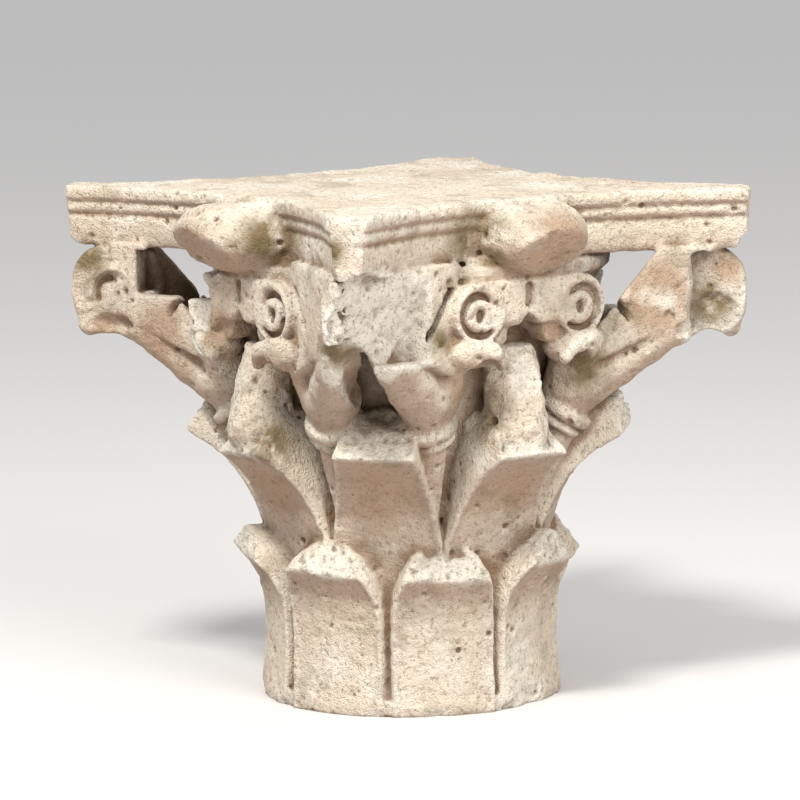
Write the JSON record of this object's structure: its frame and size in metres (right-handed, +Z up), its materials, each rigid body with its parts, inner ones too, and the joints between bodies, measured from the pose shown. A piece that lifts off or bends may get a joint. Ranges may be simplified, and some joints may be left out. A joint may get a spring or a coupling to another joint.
{
  "type": "corinthian capital",
  "caption": "Carved limestone Corinthian capital with smooth leaves, ringed stalks, corner volutes and a hollow-sided abacus, with broken leaf tips and volutes.",
  "frame": {"origin": "centre of the capital's flat underside", "axes": "+Z up along the column's axis; the abacus sides face +X, +Y, -X and -Y and its corners lie on the diagonals"},
  "size_m": [0.4554, 0.4554, 0.452],
  "materials": {
    "limestone": "weathered matt stone with pale fresh breaks, pits and grey-olive patina"
  },
  "bodies": {
    "root": {"capital": "limestone"}
  },
  "joints": []
}
